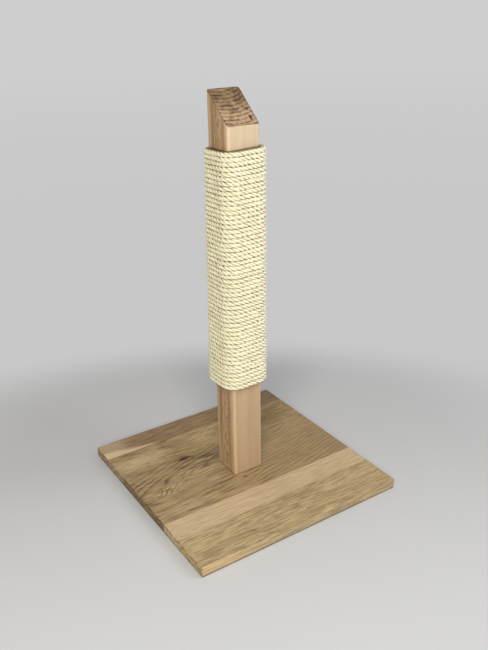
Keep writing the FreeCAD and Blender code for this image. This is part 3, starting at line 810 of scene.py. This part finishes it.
def sisal(name, stranded):
    """Dry cream plant fibre; on the strands its fine streaks follow the lay of the fibres."""
    graph = Graph(name)
    place = graph.place()
    patches = graph.fit(graph.noise(place, 26.0, detail=3.0), 0.35, 0.65)
    if stranded:
        lay = graph.add("ShaderNodeAttribute", attribute_name="lay").outputs["Vector"]
        along, across, outward = graph.split(lay)
        slanted = graph.plus(across, graph.times(along, FIBRE_SLANT))
        streak = graph.noise(graph.plane(along, slanted, 130.0, 2400.0), detail=3.0, roughness=0.6)
        coarse = graph.noise(graph.plane(along, slanted, 60.0, 700.0), detail=2.0)
        # Painted shade where the strands meet and on their inner sides.
        strand_edge = graph.fit(graph.math("ABSOLUTE", across), 2.1 * MM, 3.6 * MM, 0.0, 0.68)
        inner_side = graph.fit(outward, 0.0, 3.1 * MM, 1.0, 0.0)
        groove_shade = graph.math("MAXIMUM", strand_edge, inner_side)
        height = graph.plus(graph.times(streak, 0.5), coarse)
        normal = graph.bump(height, 0.5 * MM)
    else:
        streak = graph.noise(place, 900.0, detail=2.0)
        coarse = graph.noise(place, 260.0, detail=2.0)
        groove_shade = 0.0
        normal = None
    share = graph.plus(graph.times(streak, 0.5), graph.times(coarse, 0.5))
    share = graph.fit(share, 0.40, 0.72)
    x, y = graph.split(place)[:2]
    # Painted shade on the rope's left side.
    left = graph.times(graph.fit(x, -0.030, -0.026, 1.0, 0.0), graph.fit(y, -0.031, -0.018))
    light = graph.blend(left, CREAM, LEFT_SHADED_CREAM)
    dark = graph.blend(left, STRAW, LEFT_SHADED_STRAW)
    colour = graph.blend(share, light, dark)
    colour = graph.blend(graph.times(patches, 0.25), colour, PATCH_STRAW)
    # Painted shade in the grooves, browner and stronger on the left side.
    groove_shade_colour = graph.blend(left, GROOVE_SHADE_BROWN, LEFT_GROOVE_SHADE_BROWN)
    strength = graph.plus(GROOVE_SHADE, graph.times(left, LEFT_GROOVE_SHADE))
    colour = graph.blend(graph.times(groove_shade, strength), colour, groove_shade_colour)
    rough = graph.plus(0.72, graph.times(streak, 0.18))
    return graph.finish(colour, rough, normal, IOR=1.45, Sheen_Weight=0.25, Sheen_Roughness=0.5)


def zinc():
    """Zinc plating with fine turned marks and dull patches."""
    graph = Graph("zinc_plated_steel")
    place = graph.place()
    marks = graph.noise(graph.scaled(place, (900.0, 900.0, 6000.0)), detail=2.0)
    patches = graph.fit(graph.noise(place, 420.0, detail=3.0, roughness=0.6), 0.35, 0.7)
    colour = graph.blend(patches, (0.66, 0.64, 0.60), (0.52, 0.49, 0.42))
    rough = graph.plus(0.28, graph.times(patches, 0.2))
    return graph.finish(colour, rough, graph.bump(marks, 0.02 * MM), Metallic=1.0)


# ---- the object ----------------------------------------------------------------------------------

SCREWS = 4

for number, wood in enumerate(STAVES, start=1):
    give(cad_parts["base_stave_%d" % number], oak(number, **wood))
give(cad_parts["post"], beech())
zinc_finish = zinc()
for number in range(1, SCREWS + 1):
    give(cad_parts["post_screw_%d" % number], zinc_finish)

rope_finish = sisal("sisal_strands", True)
for index in range(STRANDS):
    piece = make_strand(index)
    give(piece, rope_finish)
    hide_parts("sisal_rope_1", "sisal_rope_2", "sisal_rope_3")
    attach(piece, "root")
fibres = make_fibres()
give(fibres, sisal("sisal_fibres", False))
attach(fibres, "root")


# ---- the floor and the world ---------------------------------------------------------------------

WALL_GREY = 0.62
NEAR_FLOOR_GREY = 0.645
FAR_FLOOR_GREY = 0.575
AMBIENT_STRENGTH = 0.21
FLOOR_HALF = 40.0
FLOOR_LEVEL = -0.0001

# The way the camera looks, seen from above.
VIEW_X = 0.546
VIEW_Y = 0.838


def make_floor():
    """A pale floor that takes the object's shadow; far off, the camera sees it as even grey."""
    points = np.array([[x, y, FLOOR_LEVEL] for x, y in ((-FLOOR_HALF, -FLOOR_HALF),
                                                       (FLOOR_HALF, -FLOOR_HALF),
                                                       (FLOOR_HALF, FLOOR_HALF),
                                                       (-FLOOR_HALF, FLOOR_HALF))])
    floor = make_mesh("floor", points, np.array([[0, 1, 2, 3]]))
    graph = Graph("pale_floor")
    place = graph.place()
    x, y = graph.split(place)[:2]
    depth = graph.plus(graph.times(x, VIEW_X), graph.times(y, VIEW_Y))
    mottle = graph.times(graph.noise(place, 3.0, detail=2.0), 0.04)
    shade = graph.blend(graph.fit(depth, -0.45, 0.20), (0.69, 0.693, 0.702), (0.60, 0.602, 0.61))
    shade = graph.blend(mottle, shade, (0.3, 0.3, 0.3))
    graph.finish(shade, 0.9)
    distance = graph.length(x, y)
    glow = graph.add("ShaderNodeEmission")
    near = graph.blend(graph.fit(depth, -0.5, 0.4), (NEAR_FLOOR_GREY,) * 3, (FAR_FLOOR_GREY,) * 3)
    far = graph.fit(distance, 1.0, 9.0)
    graph.put(graph.blend(far, near, (WALL_GREY,) * 3), glow.inputs["Color"])
    seen_directly = graph.add("ShaderNodeLightPath").outputs["Is Camera Ray"]
    reach = graph.plus(distance, graph.fit(depth, 0.25, 0.70, 0.0, 0.3))
    even = graph.times(graph.fit(reach, 0.42, 0.85), seen_directly)
    mixed = graph.add("ShaderNodeMixShader")
    graph.put(even, mixed.inputs[0])
    graph.put(graph.shader.outputs[0], mixed.inputs[1])
    graph.put(glow.outputs[0], mixed.inputs[2])
    graph.put(mixed.outputs[0], graph.output.inputs["Surface"])
    give(floor, graph.material)


def make_world():
    """Soft light from all round; the camera itself sees an even grey behind the floor."""
    world = bpy.data.worlds.new("studio")
    bpy.context.scene.world = world
    world.use_nodes = True
    nodes = world.node_tree.nodes
    links = world.node_tree.links
    nodes.clear()
    output = nodes.new("ShaderNodeOutputWorld")
    ambient = nodes.new("ShaderNodeBackground")
    ambient.inputs["Color"].default_value = (1.0, 1.0, 1.0, 1.0)
    ambient.inputs["Strength"].default_value = AMBIENT_STRENGTH
    seen = nodes.new("ShaderNodeBackground")
    seen.inputs["Color"].default_value = (WALL_GREY, WALL_GREY, WALL_GREY, 1.0)
    seen.inputs["Strength"].default_value = 1.0
    ray = nodes.new("ShaderNodeLightPath")
    to_camera = nodes.new("ShaderNodeMath")
    to_camera.operation = "MAXIMUM"
    choose = nodes.new("ShaderNodeMixShader")
    links.new(ray.outputs["Is Camera Ray"], to_camera.inputs[0])
    links.new(ray.outputs["Is Transmission Ray"], to_camera.inputs[1])
    links.new(to_camera.outputs[0], choose.inputs[0])
    links.new(ambient.outputs[0], choose.inputs[1])
    links.new(seen.outputs[0], choose.inputs[2])
    links.new(choose.outputs[0], output.inputs["Surface"])


make_floor()
make_world()


# ---- lights --------------------------------------------------------------------------------------

LIGHT_TARGET = Vector((0.0, 0.0, 0.30))

# Square lights: name, place, side in metres, power in watts and colour.
LIGHTS = (("key_light", (1.60, -1.60, 1.77), 1.7, 24.5, (0.98, 1.0, 1.07)),
          ("front_light", (-1.39, -2.00, 1.88), 1.7, 72.5, (1.03, 1.0, 0.93)),
          ("rear_light", (0.70, 2.30, 1.60), 2.4, 8.0, (1.03, 1.0, 0.94)))


def add_light(name, place, side, power, colour):
    """A square light that faces the target."""
    lamp = bpy.data.lights.new(name, "AREA")
    lamp.shape = "SQUARE"
    lamp.size = side
    lamp.energy = power
    lamp.color = colour
    holder = bpy.data.objects.new(name, lamp)
    holder.location = place
    holder.rotation_euler = (LIGHT_TARGET - Vector(place)).to_track_quat("-Z", "Y").to_euler()
    bpy.context.scene.collection.objects.link(holder)


for light_settings in LIGHTS:
    add_light(*light_settings)


# ---- camera --------------------------------------------------------------------------------------

FOCAL_PIXELS = 734.437
LONG_SIDE_PIXELS = 650.0
SENSOR_MM = 36.0
CAMERA_DISTANCE = 1.374466
CAMERA_AZIMUTH = math.radians(-33.08)
CAMERA_ELEVATION = math.radians(24.27)
CAMERA_ROLL = math.radians(-0.926)
CAMERA_RIGHT = 0.011399
CAMERA_UP = 0.272326


def make_camera():
    """The camera, set by its distance, its angles round and above the object, roll and shift."""
    backward = Vector((math.sin(CAMERA_AZIMUTH) * math.cos(CAMERA_ELEVATION),
                       -math.cos(CAMERA_AZIMUTH) * math.cos(CAMERA_ELEVATION),
                       math.sin(CAMERA_ELEVATION)))
    right = Vector((math.cos(CAMERA_AZIMUTH), math.sin(CAMERA_AZIMUTH), 0.0))
    up = backward.cross(right)
    place = backward * CAMERA_DISTANCE + right * CAMERA_RIGHT + up * CAMERA_UP
    across = right * math.cos(CAMERA_ROLL) + up * math.sin(CAMERA_ROLL)
    upright = up * math.cos(CAMERA_ROLL) - right * math.sin(CAMERA_ROLL)
    lens = bpy.data.cameras.new("camera")
    lens.sensor_width = SENSOR_MM
    lens.lens = SENSOR_MM * FOCAL_PIXELS / LONG_SIDE_PIXELS
    holder = bpy.data.objects.new("camera", lens)
    turn = Matrix((across, upright, backward)).transposed().to_4x4()
    holder.matrix_world = Matrix.Translation(place) @ turn
    bpy.context.scene.collection.objects.link(holder)
    bpy.context.scene.camera = holder


make_camera()
bpy.context.scene.view_settings.view_transform = "Standard"
